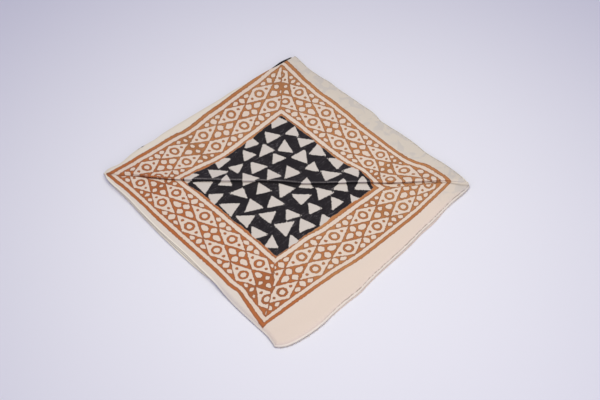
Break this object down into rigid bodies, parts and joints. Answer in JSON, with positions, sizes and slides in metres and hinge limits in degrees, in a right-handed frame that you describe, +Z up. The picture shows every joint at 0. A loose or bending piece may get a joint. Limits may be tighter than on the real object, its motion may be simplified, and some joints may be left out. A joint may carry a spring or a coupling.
{
  "type": "folded ajrakh cloth",
  "caption": "Cotton cloth block printed in the ajrakh manner, folded back and forth into a flat square stack with a soft crease from corner to corner.",
  "frame": {"origin": "middle of the stack's outline on the surface that it rests on", "axes": "+Z up out of the stack; +X towards the free cut end of the top layer; +Y along the top layer's folds, away from the edge that shows the layers"},
  "size_m": [0.3236, 0.3078, 0.0093],
  "materials": {
    "printed_cotton": "matt plain-weave cotton, cream ground with a rust lattice border and a black field of cream triangles"
  },
  "bodies": {
    "root": {"cloth": "printed_cotton"}
  },
  "joints": []
}
